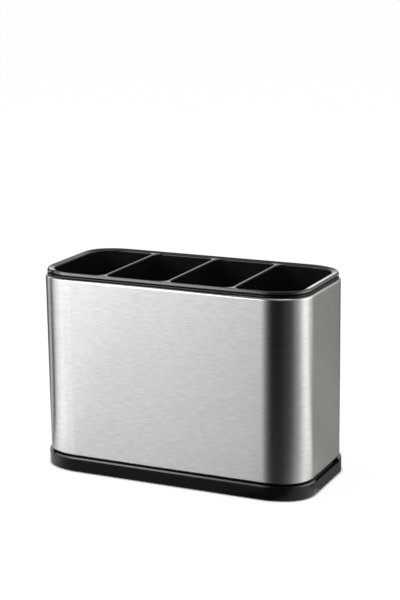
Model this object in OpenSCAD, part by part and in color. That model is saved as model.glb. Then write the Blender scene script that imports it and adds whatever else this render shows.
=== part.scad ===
// Kitchen utensil holder: a brushed steel sleeve on a drip tray, with a lift-out liner of four pockets.
// Millimetres, +Z up. The origin is on the counter, under the middle of the holder.
// The front is towards -Y, and the long side runs along X.

/* [Steel sleeve] */
// Outer width of the sleeve
sleeve_w = 180; // [140:1:240]
// Outer depth of the sleeve
sleeve_d = 82.5; // [70:0.5:120]
// Height of the sleeve
sleeve_h = 114.5; // [80:0.5:180]
// Outer radius of the sleeve's upright corners, next to the short sides
corner_r = 18; // [14:0.5:22]
// From the corner's centre to that of the larger arc that eases it into the long side: along that side
ease_x = 8; // [6:0.5:12]
// The same, across that side
ease_y = 15; // [10:0.5:20]
// Thickness of the steel sheet
sheet_t = 0.6; // [0.4:0.1:1]
// Inside radius of the bends at the turned-in top and bottom edges
bend_r = 0.4; // [0.2:0.1:1]
// Flat reach of the turned-in lips, past the bend
lip_flat = 0.7; // [0.5:0.1:2]
// Width of the open seam at the back
seam_gap = 0.25; // [0.1:0.05:0.6]
// Width of the strap that closes the seam from inside
strap_w = 12; // [6:1:20]

/* [Rim collar] */
// Height of the collar that shows above the sleeve
collar_h = 1.5; // [1:0.1:4]
// How far the outer face of the collar and of the liner's flange lies behind the sleeve's
rim_set_back = 1.1; // [0.6:0.1:1.5]
// Thickness of the skirt inside the sleeve
skirt_wall = 0.9; // [0.7:0.1:2]
// Depth of the skirt below the top of the sleeve
skirt_h = 8; // [5:0.5:20]
// Width of the raised seat that carries the liner's flange
seat_w = 0.8; // [0.5:0.1:1.1]
// Height of the shadow groove between the collar and the flange
groove_h = 1; // [0.6:0.1:2]
// Radius of the collar's outer top edge
collar_edge_r = 0.5; // [0.2:0.1:0.9]
// Length of a snap barb along the rim
barb_l = 10; // [6:1:16]
// Reach of a snap barb under the sleeve's lip
barb_w = 0.8; // [0.4:0.1:1]
// Height of a snap barb
barb_h = 2.5; // [1.5:0.1:4]

/* [Compartment liner] */
// Number of pockets
pocket_count = 4; // [2:1:6]
// Thickness of the outer walls
liner_wall = 2.2; // [1:0.1:3]
// Thickness of the dividers
divider_t = 1.8; // [1.2:0.1:3]
// Thickness of the floor
liner_floor = 1.8; // [1.2:0.1:4]
// Height of the flange at its crest
flange_h = 1.6; // [1.3:0.1:3]
// How far the flange's outer face leans in from its lower edge to its crest
flange_lean = 0.45; // [0.2:0.05:0.8]
// Radius of the crest
crest_r = 0.4; // [0.2:0.1:0.6]
// How far the dished top falls from the crest to the mouths of the pockets and to the dividers
dish_drop = 0.8; // [0.5:0.1:1]
// Fillet radius where the dividers meet the walls
pocket_r = 5; // [2:0.5:8]
// Chamfer around the mouths of the pockets
mouth_chamfer = 0.4; // [0.2:0.1:0.6]
// Number of drain slots in a pocket's floor
slot_count = 3; // [1:1:4]
// Width of a drain slot
slot_w = 3.4; // [2:0.1:3.8]
// Distance from the ends of a drain slot to the pocket's walls
slot_margin = 14; // [6:1:25]

/* [Drip tray] */
// How far the tray's outer wall stands proud of the sleeve
tray_proud = 1.3; // [0.6:0.1:4]
// Height of the tray's outer wall
tray_h = 9.1; // [6:0.1:20]
// Thickness of the outer wall and of the shoulder
tray_wall = 2; // [1.4:0.1:3]
// Radius of the outer wall's top edge
tray_edge_r = 0.8; // [0.3:0.1:1.2]
// Thickness of the wall around the basin
basin_wall = 1.6; // [1.2:0.1:2.5]
// Width of the step between the spigot and the basin
basin_step = 2.4; // [1:0.1:6]
// Thickness of the basin's floor
tray_floor = 2.4; // [1.8:0.1:4]
// Height of the shadow gap between the shoulder and the sleeve
shadow_gap = 0.9; // [0.4:0.1:2]
// Thickness of the spigot that centres the sleeve
spigot_wall = 1.6; // [1.2:0.1:2.5]
// Height of the spigot inside the sleeve
spigot_h = 6; // [4:0.5:15]
// Length of the finger notch in each short side
notch_l = 40; // [20:1:44]
// Depth of the finger notch below the shoulder
notch_h = 2.2; // [1:0.1:4]
// Thickness of the floor under a finger notch
notch_floor = 1.4; // [1:0.1:2]
// Thickness of the ribs across the hollow channel
rib_t = 1.4; // [1:0.1:2]
// Pitch of the ribs along the long sides
rib_pitch = 24; // [15:1:60]

/* [Foot pads] */
// Diameter of a foot pad
foot_dia = 14; // [8:0.5:18]
// Thickness of a foot pad
foot_t = 1.5; // [1.2:0.1:3]
// How far a foot pad stands out below the tray
foot_proud = 0.5; // [0.3:0.1:1]
// Radius of a foot pad's lower edge
foot_edge_r = 0.3; // [0.1:0.1:0.6]
// Distance from a foot pad's centre to the basin's walls
foot_inset = 13; // [10:0.5:20]

/* [Fits] */
// Gap between pieces that are pressed or glued together
fit_gap = 0.1; // [0.05:0.05:0.3]
// Gap between pieces that lift apart
lift_gap = 0.3; // [0.2:0.1:0.8]
// Gap between the liner's walls and the collar
liner_play = 0.7; // [0.3:0.1:1.5]
// Gap between the liner's underside and the top of the spigot
liner_gap = 1; // [0.5:0.1:5]

/* [Hidden] */
$fn = 96;

// Colours as the photograph shows them
steel_colour = [0.78, 0.78, 0.77];
gloss_black = [0.07, 0.07, 0.07];
satin_black = [0.12, 0.12, 0.12];
rubber_grey = [0.25, 0.25, 0.25];

// Amount by which a cutting or joining solid passes the face that it meets
pass = 0.5;
// How many times longer than the easing arc's gain in radius a wedge is drawn, to reach past every corner
wedge_reach = 6;

// Heights from the counter up
tray_z = foot_proud;
shoulder_z = tray_z + tray_h;
sleeve_z = shoulder_z + shadow_gap;
spigot_z = sleeve_z + spigot_h;
sleeve_top = sleeve_z + sleeve_h;
collar_z = sleeve_top + collar_h;
flange_z = collar_z + groove_h;
crest_z = flange_z + flange_h;
mouth_z = crest_z - dish_drop;
liner_z = spigot_z + liner_gap;

// Insets from the sleeve's outer face, towards the middle of the holder
half_w = sleeve_w / 2;
half_d = sleeve_d / 2;
bend_outer_r = bend_r + sheet_t;
lip_w = bend_outer_r + lip_flat;
skirt_in = lip_w + fit_gap;
collar_in = skirt_in + skirt_wall;
liner_in = collar_in + liner_play;
pocket_in = liner_in + liner_wall;
spigot_in = lip_w + lift_gap;
channel_in = tray_wall - tray_proud;
basin_in = spigot_in + spigot_wall + basin_step;
basin_wall_in = basin_in - basin_wall;
channel_w = basin_wall_in - channel_in;
bridge_l = channel_w + basin_wall / 2 + tray_wall / 2;
plinth_in = bend_outer_r - fit_gap;

// The row of pockets: its dividers stand at equal steps across the outside of the liner
pocket_half_w = half_w - pocket_in;
pocket_half_d = half_d - pocket_in;
pocket_pitch = 2 * (half_w - liner_in) / pocket_count;

// A corner is given as its radius next to the short side, and whether an arc eases it into the long side.
// The easing arc has a larger radius by ease_gain, and meets the corner in the direction of ease.
ease = [ease_x, ease_y];
ease_gain = norm(ease);
short_side = [ease_gain, 0];
long_side = [0, ease_gain];
function sleeve_corner(inset) = [corner_r - inset, true];
function fillet(r) = [r, false];
// Lengths that a corner takes from the long side and from the short side
function reach_x(corner) = corner[0] + (corner[1] ? ease_x : 0);
function reach_y(corner) = corner[0] + (corner[1] ? ease_gain - ease_y : 0);

// The feet, in from the walls of the basin
foot_x = half_w - basin_in - foot_inset;
foot_y = half_d - basin_in - foot_inset;

// Triangle between two directions, mirrored towards the corner at side (-1 or 1 in X) and up (-1 or 1 in Y)
module wedge(side, up, from, to) {
    polygon([[0, 0], wedge_reach * [side * from[0], up * from[1]], wedge_reach * [side * to[0], up * to[1]]]);
}

// Piece of a disc between two directions
module sector(r, side, up, from, to) {
    intersection() {
        circle(r);
        wedge(side, up, from, to);
    }
}

// A section drawn as [outwards, up], swept between two directions about an upright axis
module turned(r, side, up, from, to) {
    intersection() {
        rotate([0, 0, side < 0 ? 0 : 180]) rotate_extrude() translate([r, 0]) children();
        translate([0, 0, -pass]) linear_extrude(crest_z + 2 * pass) wedge(side, up, from, to);
    }
}

// A section drawn as [outwards, up], swept along a straight run that faces a direction in degrees
module straight(run, facing) {
    rotate([0, 0, facing]) rotate([90, 0, 0]) linear_extrude(run, center = true) children();
}

// Half of an outline, from the middle to its end at x, which lies towards side
module half_outline(middle, x, side, y_half, corner) {
    run = side * (x - middle);
    rx = reach_x(corner);
    ry = reach_y(corner);
    translate([side < 0 ? x + rx : middle, -y_half]) square([run - rx, 2 * y_half]);
    translate([side < 0 ? x : x - rx, ry - y_half]) square([rx, 2 * (y_half - ry)]);
    for (up = [-1, 1]) {
        translate([x - side * corner[0], up * (y_half - ry)])
            sector(corner[0], side, up, short_side, corner[1] ? ease : long_side);
        if (corner[1])
            translate([x - side * rx, up * (y_half - corner[0] - ease_gain)])
                sector(corner[0] + ease_gain, side, up, ease, long_side);
    }
}

// Outline from x0 to x1 and as deep as y_half on both sides, with its own corners at each end
module outline(x0, x1, y_half, corner0, corner1) {
    half_outline((x0 + x1) / 2, x0, -1, y_half, corner0);
    half_outline((x0 + x1) / 2, x1, 1, y_half, corner1);
}

// The sleeve's outline, set in by an inset
module sleeve_outline(inset) {
    outline(inset - half_w, half_w - inset, half_d - inset, sleeve_corner(inset), sleeve_corner(inset));
}

// A section drawn as [outwards, up], swept around one end of an outline
module end_band(x, side, y_half, corner) {
    rx = reach_x(corner);
    ry = reach_y(corner);
    translate([x, 0, 0]) straight(2 * (y_half - ry), side < 0 ? 180 : 0) children();
    for (up = [-1, 1]) {
        translate([x - side * corner[0], up * (y_half - ry), 0])
            turned(corner[0], side, up, short_side, corner[1] ? ease : long_side) children();
        if (corner[1])
            translate([x - side * rx, up * (y_half - corner[0] - ease_gain), 0])
                turned(corner[0] + ease_gain, side, up, ease, long_side) children();
    }
}

// A section drawn as [outwards, up], swept once around an outline
module band(x0, x1, y_half, corner0, corner1) {
    run_x0 = x0 + reach_x(corner0);
    run_x1 = x1 - reach_x(corner1);
    for (up = [-1, 1])
        translate([(run_x0 + run_x1) / 2, up * y_half, 0]) straight(run_x1 - run_x0, up * 90) children();
    end_band(x0, -1, y_half, corner0) children();
    end_band(x1, 1, y_half, corner1) children();
}

// A section swept around the sleeve's outer face, drawn as [outwards, up]
module sleeve_band() {
    band(-half_w, half_w, half_d, sleeve_corner(0), sleeve_corner(0)) children();
}

// Rectangle of a section between two insets and two heights
module leg(outer_in, inner_in, low_z, high_z) {
    translate([-inner_in, low_z]) square([inner_in - outer_in, high_z - low_z]);
}

// Rectangle of a section with its outer top edge rounded
module round_leg(outer_in, inner_in, low_z, high_z, r) {
    leg(outer_in, inner_in, low_z, high_z - r);
    leg(outer_in + r, inner_in, low_z, high_z);
    translate([-outer_in - r, high_z - r]) circle(r);
}

// A turned-in edge of the sheet at height z: up is 1 at the top edge and -1 at the bottom edge
module turned_edge(z, up) {
    translate([-bend_outer_r, z - up * bend_outer_r]) intersection() {
        difference() {
            circle(bend_outer_r);
            circle(bend_r);
        }
        translate([0, up < 0 ? -bend_outer_r : 0]) square(bend_outer_r);
    }
    leg(bend_outer_r, lip_w, up < 0 ? z : z - sheet_t, up < 0 ? z + sheet_t : z);
}

// Brushed steel sleeve with turned-in edges, closed at the back by a strap behind an open seam
module steel_sleeve() {
    color(steel_colour) {
        difference() {
            sleeve_band() {
                leg(0, sheet_t, sleeve_z + bend_outer_r, sleeve_top - bend_outer_r);
                turned_edge(sleeve_z, -1);
                turned_edge(sleeve_top, 1);
            }
            translate([-seam_gap / 2, half_d - lip_w - pass, sleeve_z - pass])
                cube([seam_gap, lip_w + 2 * pass, sleeve_h + 2 * pass]);
        }
        translate([-strap_w / 2, half_d - 2 * sheet_t, sleeve_z + sheet_t])
            cube([strap_w, sheet_t, sleeve_h - 2 * sheet_t]);
    }
}

// Section of a snap barb: flat under the sleeve's lip, with a sloping lead-in below
module barb_section() {
    top_z = sleeve_top - sheet_t - fit_gap;
    root = skirt_wall / 2;
    polygon([[-skirt_in - root, top_z], [barb_w - skirt_in, top_z],
             [-skirt_in, top_z - barb_h], [-skirt_in - root, top_z - barb_h]]);
}

// A row of snap barbs at the given places along one side, which faces +X before the turn
module barbs(places, reach, turn) {
    for (place = places)
        rotate([0, 0, turn]) translate([reach, place, 0]) rotate([90, 0, 0])
            linear_extrude(barb_l, center = true) barb_section();
}

// Plastic collar: it stands on the sleeve's top lip, snaps under it and carries the liner's flange
module rim_collar() {
    long_place = (half_w - reach_x(sleeve_corner(0))) / 2;
    color(satin_black) {
        sleeve_band() {
            round_leg(rim_set_back, collar_in, sleeve_top, collar_z, collar_edge_r);
            leg(collar_in - seat_w, collar_in, sleeve_top, flange_z);
            leg(skirt_in, collar_in, sleeve_top - skirt_h, sleeve_top + collar_h / 2);
        }
        for (turn = [0, 180]) {
            barbs([0], half_w, turn);
            barbs([-long_place, long_place], half_d, turn + 90);
        }
    }
}

// Left and right ends of a pocket, and the corners at each end
function divider_x(i) = (i - pocket_count / 2) * pocket_pitch;
function left_x(i) = i == 0 ? -pocket_half_w : divider_x(i) + divider_t / 2;
function right_x(i) = i == pocket_count - 1 ? pocket_half_w : divider_x(i + 1) - divider_t / 2;
function left_corner(i) = i == 0 ? sleeve_corner(pocket_in) : fillet(pocket_r);
function right_corner(i) = i == pocket_count - 1 ? sleeve_corner(pocket_in) : fillet(pocket_r);

// The hollow of one pocket, with a chamfer around its mouth
module pocket(i) {
    x0 = left_x(i);
    x1 = right_x(i);
    translate([0, 0, liner_z + liner_floor]) linear_extrude(mouth_z - liner_z)
        outline(x0, x1, pocket_half_d, left_corner(i), right_corner(i));
    band(x0, x1, pocket_half_d, left_corner(i), right_corner(i))
        polygon([[-pass, mouth_z - mouth_chamfer - pass], [mouth_chamfer + pass, mouth_z + pass],
                 [-pass, mouth_z + pass]]);
}

// Drain slots through the floor of one pocket, evenly spread across it
module drain_slots(i) {
    slot_half_l = pocket_half_d - slot_margin - slot_w / 2;
    for (k = [1:slot_count])
        translate([left_x(i) + k * (right_x(i) - left_x(i)) / (slot_count + 1), 0, liner_z - pass])
            linear_extrude(liner_floor + 2 * pass) {
                square([slot_w, 2 * slot_half_l], center = true);
                for (end = [-1, 1])
                    translate([0, end * slot_half_l]) circle(d = slot_w);
            }
}

// Angle of the line from a point that touches a circle of the crest's radius, across and up from the point
function touch_angle(across, up) = atan2(up, across) + asin(crest_r / norm([across, up]));

// Section of the flange: a leaning outer face, a round crest and a top that is dished towards the mouths
module flange_section() {
    crest = [-rim_set_back - flange_lean - crest_r, crest_z - crest_r];
    mouth_in = pocket_in - mouth_chamfer;
    lean = touch_angle(flange_lean + crest_r, flange_h - crest_r);
    dish = touch_angle(mouth_in + crest[0], dish_drop - crest_r);
    polygon([[-rim_set_back, flange_z], crest + crest_r * [sin(lean), cos(lean)], crest,
             crest + crest_r * [-sin(dish), cos(dish)], [-mouth_in, mouth_z],
             [-liner_in - liner_wall / 2, flange_z]]);
    translate(crest) circle(crest_r);
}

// Liner with a row of pockets: its flange hangs on the collar, and its floor drains into the tray
module compartment_liner() {
    color(gloss_black) {
        difference() {
            translate([0, 0, liner_z]) linear_extrude(mouth_z - liner_z) sleeve_outline(liner_in);
            for (i = [0:pocket_count - 1]) {
                pocket(i);
                drain_slots(i);
            }
        }
        sleeve_band() flange_section();
    }
}

// Ribs across the hollow channel, along both long sides
module channel_ribs() {
    last = floor((half_w - reach_x(sleeve_corner(0))) / rib_pitch);
    for (side = [-1, 1], k = [-last:last])
        translate([k * rib_pitch, side * (half_d - channel_in - channel_w / 2), tray_z + tray_h / 2])
            cube([rib_t, bridge_l, tray_h - tray_wall], center = true);
}

// Floors across the hollow channel, which close the finger notches from below
module notch_floors() {
    low_z = shoulder_z - notch_h - notch_floor;
    high_z = shoulder_z - tray_wall / 2;
    for (side = [-1, 1])
        translate([side * (half_w - channel_in - channel_w / 2), 0, (low_z + high_z) / 2])
            cube([bridge_l, notch_l + 2 * tray_wall, high_z - low_z], center = true);
}

// Drip tray: a basin inside a hollow plinth, with a spigot that centres the sleeve
module drip_tray() {
    color(satin_black) difference() {
        union() {
            sleeve_band() {
                round_leg(-tray_proud, channel_in, tray_z, shoulder_z, tray_edge_r);
                leg(channel_in - tray_wall / 2, basin_in, shoulder_z - tray_wall, shoulder_z);
                leg(basin_wall_in, basin_in, tray_z, shoulder_z);
                leg(plinth_in, spigot_in + spigot_wall, shoulder_z - tray_wall, sleeve_z);
                leg(spigot_in, spigot_in + spigot_wall, shoulder_z - tray_wall, spigot_z);
            }
            translate([0, 0, tray_z]) linear_extrude(tray_floor) sleeve_outline(basin_in - basin_wall / 2);
            channel_ribs();
            notch_floors();
        }
        for (side = [-1, 1])
            translate([side * (half_w + tray_proud), 0, shoulder_z - notch_h + tray_h / 2])
                cube([2 * (tray_proud + spigot_in), notch_l, tray_h], center = true);
        for (x = [-foot_x, foot_x], y = [-foot_y, foot_y])
            translate([x, y, 0]) cylinder(d = foot_dia + 2 * fit_gap, h = foot_t);
    }
}

// Anti-slip pad with a rounded lower edge, glued into its seat under the tray
module foot(side_x, side_y) {
    r = foot_dia / 2;
    color(rubber_grey) translate([side_x * foot_x, side_y * foot_y, 0]) rotate_extrude() {
        translate([0, foot_edge_r]) square([r, foot_t - foot_edge_r]);
        square([r - foot_edge_r, foot_t]);
        translate([r - foot_edge_r, foot_edge_r]) circle(foot_edge_r);
    }
}

module foot_front_left() { foot(-1, -1); }
module foot_front_right() { foot(1, -1); }
module foot_back_left() { foot(-1, 1); }
module foot_back_right() { foot(1, 1); }

drip_tray();
foot_front_left();
foot_front_right();
foot_back_left();
foot_back_right();
steel_sleeve();
rim_collar();
compartment_liner();
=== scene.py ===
"""Looks of a kitchen utensil holder: brushed steel sleeve, rim collar, pocket liner, drip tray and feet.

Metres, in the frame of the packed model. The front is towards -Y, and the long side runs along X.
"""

import math

import bmesh
import bpy
from bpy.props import FloatProperty, IntProperty, PointerProperty, StringProperty
from mathutils import Matrix, Vector


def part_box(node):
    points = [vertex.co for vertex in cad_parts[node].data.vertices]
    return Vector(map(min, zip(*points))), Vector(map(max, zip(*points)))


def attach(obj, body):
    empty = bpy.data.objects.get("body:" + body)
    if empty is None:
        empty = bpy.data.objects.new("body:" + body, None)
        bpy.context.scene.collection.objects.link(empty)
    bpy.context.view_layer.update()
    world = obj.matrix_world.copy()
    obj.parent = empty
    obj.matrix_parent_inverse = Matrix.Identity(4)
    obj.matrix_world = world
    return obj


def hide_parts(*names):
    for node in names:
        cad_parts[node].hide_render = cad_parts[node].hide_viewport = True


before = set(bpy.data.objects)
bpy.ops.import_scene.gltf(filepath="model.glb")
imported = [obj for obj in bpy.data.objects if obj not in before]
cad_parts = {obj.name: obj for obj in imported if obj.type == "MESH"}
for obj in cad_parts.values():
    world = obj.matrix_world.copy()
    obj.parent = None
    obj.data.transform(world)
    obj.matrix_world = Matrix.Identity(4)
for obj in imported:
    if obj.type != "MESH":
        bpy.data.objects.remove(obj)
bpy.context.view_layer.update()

bl_info = {
    "name": "Kitchen utensil holder",
    "version": (1, 0, 0),
    "blender": (4, 5, 0),
    "location": "View3D > Sidebar > Holder",
    "description": "Builds the surfaces of a utensil holder around its packed solids",
    "category": "Object",
}

SLEEVE_LOW, SLEEVE_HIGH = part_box("steel_sleeve")
COLLAR_LOW, COLLAR_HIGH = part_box("rim_collar")
LINER_LOW, LINER_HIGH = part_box("compartment_liner")
TRAY_LOW, TRAY_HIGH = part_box("drip_tray")
FEET = ("foot_front_left", "foot_front_right", "foot_back_left", "foot_back_right")
HALF_W, HALF_D = SLEEVE_HIGH.x, SLEEVE_HIGH.y
MM = 0.001
# Points closer than this, in metres, are one
WELD_DISTANCE = 1e-7
# Faces around the feet and their seats
ROUND_STEPS = 64
# Angles in degrees from which an edge is shaded sharp: shallow bevels stay crisp on the liner and the tray
SHARP, LINER_SHARP, TRAY_SHARP = 32, 12.5, 18
# Where the dish of the liner's flange ends, as a share of the rounding around the mouths
DISH_END = 0.8
# Degrees that the rounding around the mouths turns
FLARE_TURN = 84
# A hair less than a half circle keeps the two ends of a drain slot apart
SLOT_ROUNDNESS, SLOT_STEPS = 0.999, 8
# Sockets of a Mix node that mixes colours
MIX_A, MIX_B, MIX_RESULT = 6, 7, 2


def length(name, description, millimetres):
    """A length property whose default is given in millimetres."""
    return FloatProperty(name=name, description=description, default=millimetres * MM,
                         min=0.0, precision=5, unit="LENGTH")


def whole_number(name, description, number, least):
    """A whole number property."""
    return IntProperty(name=name, description=description, default=number, min=least)


def colour(name, description, hex_colour):
    """A colour property, as an sRGB hex value."""
    return StringProperty(name=name, description=description, default=hex_colour)


class SleeveSizes(bpy.types.PropertyGroup):
    """Sizes of the steel sleeve."""
    corner_radius: length("Corner radius", "Outer radius of the corners, next to the short sides", 18)
    ease_along: length("Ease along", "From a corner's centre to its easing arc's, along X", 8)
    ease_across: length("Ease across", "From a corner's centre to its easing arc's, along Y", 15)
    sheet: length("Sheet", "Thickness of the steel", 0.6)
    bend_radius: length("Bend radius", "Inside radius of the turned-in upper edge", 0.8)
    foot_bend: length("Foot bend", "Inside radius of the turned-in lower edge", 0.2)
    lip_flat: length("Lip", "Flat reach of the upper lip past the bend", 0.3)
    seam_gap: length("Seam", "Width of the open seam at the back", 0.25)
    strap_width: length("Strap", "Width of the strap behind the seam", 12)
    corner_steps: whole_number("Corner steps", "Faces along each arc of a corner", 20, 4)


class CollarSizes(bpy.types.PropertyGroup):
    """Sizes of the collar on the sleeve's top edge."""
    height: length("Height", "Height that shows above the sleeve", 1.5)
    skirt_wall: length("Skirt", "Thickness of the skirt inside the sleeve", 0.9)
    seat_width: length("Seat", "Width of the seat under the liner's flange", 0.25)
    gutter: length("Gutter", "Depth of the gutter between the front edge and the seat", 0.6)
    edge_radius: length("Edge radius", "Radius of the outer top edge", 0.5)
    barb_length: length("Barb length", "Length of a snap barb", 10)
    barb_reach: length("Barb reach", "Reach of a snap barb under the sleeve's lip", 0.8)
    barb_height: length("Barb height", "Height of a snap barb", 2.5)
    fit_gap: length("Fit gap", "Gap between pressed pieces", 0.1)
    lift_gap: length("Lift gap", "Gap between pieces that lift apart", 0.3)


class LinerSizes(bpy.types.PropertyGroup):
    """Sizes of the liner and its pockets."""
    pockets: whole_number("Pockets", "Number of pockets in the row", 4, 1)
    play: length("Play", "Gap between the liner's walls and the collar", 0.7)
    wall: length("Wall", "Thickness of the outer walls", 2.2)
    divider: length("Divider", "Thickness of the dividers", 1.8)
    floor: length("Floor", "Thickness of the floor", 1.8)
    flange_lean: length("Flange lean", "How far the flange's outer face leans in up to its crest", 0.45)
    crest_radius: length("Crest radius", "Radius of the flange's crest", 0.4)
    dish_drop: length("Dish", "How far the flange's top falls from its crest to the mouths", 0.8)
    pocket_radius: length("Pocket radius", "Fillet where the dividers meet the walls", 5)
    mouth_radius: length("Mouth radius", "Rounding around the mouths of the pockets", 0.6)
    bottom_radius: length("Bottom radius", "Fillet around the floors of the pockets", 3)
    slots: whole_number("Slots", "Drain slots in the floor of a pocket", 3, 1)
    slot_width: length("Slot width", "Width of a drain slot", 3.4)
    slot_margin: length("Slot margin", "From the ends of a drain slot to the walls", 14)
    corner_steps: whole_number("Corner steps", "Faces along each arc of a pocket", 16, 4)


class TraySizes(bpy.types.PropertyGroup):
    """Sizes of the drip tray."""
    height: length("Height", "Height of the outer wall", 9.1)
    wall: length("Wall", "Thickness of the outer wall and the shoulder", 2)
    bevel_height: length("Bevel height", "Height of the leaning bevel at the outer wall's top", 0.95)
    bevel_lean: length("Bevel lean", "How far that bevel leans in", 0.38)
    ridge: length("Ridge", "Width of the ridge on top of the bevel", 0.15)
    gutter: length("Gutter", "Depth of the gutter between the ridge and the plinth", 0.8)
    plinth_inset: length("Plinth inset", "How far the plinth stands back from the sleeve's outer face", 1.3)
    foot_radius: length("Foot radius", "Radius of the outer wall's lower edge", 0.4)
    basin_wall: length("Basin wall", "Thickness of the wall around the basin", 1.6)
    basin_step: length("Basin step", "Step between the spigot and the basin", 2.4)
    basin_radius: length("Basin radius", "Fillet around the basin's floor", 1.5)
    floor: length("Floor", "Thickness of the basin's floor", 2.4)
    spigot_wall: length("Spigot", "Thickness of the spigot that centres the sleeve", 1.6)
    spigot_radius: length("Spigot radius", "Rounding of the spigot's top edges", 0.5)
    notch_length: length("Notch length", "Length of the finger notch in each short side", 40)
    notch_height: length("Notch height", "Depth of the finger notch below the shoulder", 1.6)
    notch_floor: length("Notch floor", "Thickness of the floor under a finger notch", 1.4)
    rib: length("Rib", "Thickness of the ribs across the hollow channel", 1.4)
    rib_pitch: length("Rib pitch", "Pitch of the ribs along the long sides", 24)


class FootSizes(bpy.types.PropertyGroup):
    """Sizes of the foot pads."""
    edge_radius: length("Edge radius", "Radius of the lower edge", 0.3)
    groove: length("Groove", "Depth of the grip grooves", 0.25)
    grooves: whole_number("Grooves", "Grip grooves around a pad", 3, 0)


class Finishes(bpy.types.PropertyGroup):
    """Colours of the materials, as sRGB hex values."""
    steel: colour("Steel", "Brushed stainless steel", "#dadada")
    steel_dark: colour("Steel grain", "Darker lines of the grain", "#c4c4c4")
    gloss_black: colour("Gloss black", "Polished ABS of the liner", "#161617")
    satin_black: colour("Satin black", "Satin ABS of tray and collar", "#060607")
    rubber: colour("Rubber", "Silicone rubber of the feet", "#2b2b2c")


# Colours and nodes

def linear(hex_colour):
    """An sRGB hex value as linear RGBA."""
    values = [int(hex_colour[i:i + 2], 16) / 255 for i in (1, 3, 5)]
    return [v / 12.92 if v <= 0.04045 else ((v + 0.055) / 1.055) ** 2.4 for v in values] + [1.0]


def set_stops(elements, stops):
    """Gives a colour ramp its stops: place, brightness and tint."""
    for _ in stops[2:]:
        elements.new(0.5)
    for element, (place, light, tint) in zip(elements, stops):
        element.position = place
        element.color = [light * part for part in tint] + [1.0]


def add_node(tree, kind, settings=None, inputs=None):
    """Adds a node, sets its properties or stops, and sets or links its inputs by name or index."""
    node = tree.nodes.new(kind)
    for name, value in (settings or {}).items():
        if name == "stops":
            set_stops(node.color_ramp.elements, value)
        else:
            setattr(node, name, value)
    for key, value in (inputs or {}).items():
        if isinstance(value, bpy.types.NodeSocket):
            tree.links.new(value, node.inputs[key])
        else:
            node.inputs[key].default_value = value
    return node


def new_material(name):
    """An empty node material and its tree."""
    material = bpy.data.materials.new(name)
    material.use_nodes = True
    material.node_tree.nodes.clear()
    return material, material.node_tree


def per_metre(*millimetres):
    """Noise frequencies for features of these sizes along X, Y and Z."""
    return [1 / (size * MM) for size in millimetres]


def brushed_steel(finishes):
    """Stainless sheet brushed level all round: fine level lines that stretch every reflection upright."""
    material, tree = new_material("brushed_stainless_steel")
    place = add_node(tree, "ShaderNodeTexCoord").outputs["Object"]
    # The real lines are under 0.1 mm apart: drawn 0.5 mm apart, so that they show
    fine = add_node(tree, "ShaderNodeMapping", inputs={"Vector": place, "Scale": per_metre(7, 7, 0.5)})
    broad = add_node(tree, "ShaderNodeMapping", inputs={"Vector": place, "Scale": per_metre(60, 60, 2.5)})
    lines = add_node(tree, "ShaderNodeTexNoise",
                     inputs={"Vector": fine.outputs[0], "Scale": 1.0, "Detail": 3.0, "Roughness": 0.65})
    drift = add_node(tree, "ShaderNodeTexNoise",
                     inputs={"Vector": broad.outputs[0], "Scale": 1.0, "Detail": 2.0, "Roughness": 0.5})
    grain = add_node(tree, "ShaderNodeMath", {"operation": "MULTIPLY_ADD"},
                     {0: drift.outputs["Fac"], 1: 0.1, 2: lines.outputs["Fac"]})
    spread = add_node(tree, "ShaderNodeMapRange",
                      inputs={"Value": grain.outputs[0], "From Min": 0.35, "From Max": 0.75})
    shade = add_node(tree, "ShaderNodeMix", {"data_type": "RGBA"}, {
        "Factor": spread.outputs[0], MIX_A: linear(finishes.steel_dark), MIX_B: linear(finishes.steel)})
    rough = add_node(tree, "ShaderNodeMapRange",
                     inputs={"Value": lines.outputs["Fac"], "To Min": 0.28, "To Max": 0.36})
    bump = add_node(tree, "ShaderNodeBump",
                    inputs={"Height": lines.outputs["Fac"], "Strength": 0.10, "Distance": 0.02 * MM})
    tangent = add_node(tree, "ShaderNodeTangent", {"direction_type": "RADIAL", "axis": "Z"})
    shader = add_node(tree, "ShaderNodeBsdfPrincipled", inputs={
        "Base Color": shade.outputs[MIX_RESULT], "Metallic": 1.0, "Roughness": rough.outputs[0],
        "Normal": bump.outputs[0], "Tangent": tangent.outputs[0],
        "Anisotropic": 0.97, "Anisotropic Rotation": 0.25})
    add_node(tree, "ShaderNodeOutputMaterial", inputs={"Surface": shader.outputs[0]})
    return material


def moulded(name, hex_colour, ior, haze, shine, skin, relief):
    """A moulded material: the pattern haze spreads its roughness over shine, and skin is its relief.

    A pattern is the sizes of its features in millimetres and its detail, and relief a strength and a depth.
    """
    material, tree = new_material(name)
    place = add_node(tree, "ShaderNodeTexCoord").outputs["Object"]
    patterns = []
    for sizes, detail in (haze, skin):
        scaled = add_node(tree, "ShaderNodeMapping", inputs={"Vector": place, "Scale": per_metre(*sizes)})
        noise = add_node(tree, "ShaderNodeTexNoise",
                         inputs={"Vector": scaled.outputs[0], "Scale": 1.0, "Detail": detail})
        patterns.append(noise.outputs["Fac"])
    rough = add_node(tree, "ShaderNodeMapRange",
                     inputs={"Value": patterns[0], "To Min": shine[0], "To Max": shine[1]})
    bump = add_node(tree, "ShaderNodeBump",
                    inputs={"Height": patterns[1], "Strength": relief[0], "Distance": relief[1] * MM})
    shader = add_node(tree, "ShaderNodeBsdfPrincipled", inputs={
        "Base Color": linear(hex_colour), "Roughness": rough.outputs[0],
        "Normal": bump.outputs[0], "IOR": ior})
    add_node(tree, "ShaderNodeOutputMaterial", inputs={"Surface": shader.outputs[0]})
    return material


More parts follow.
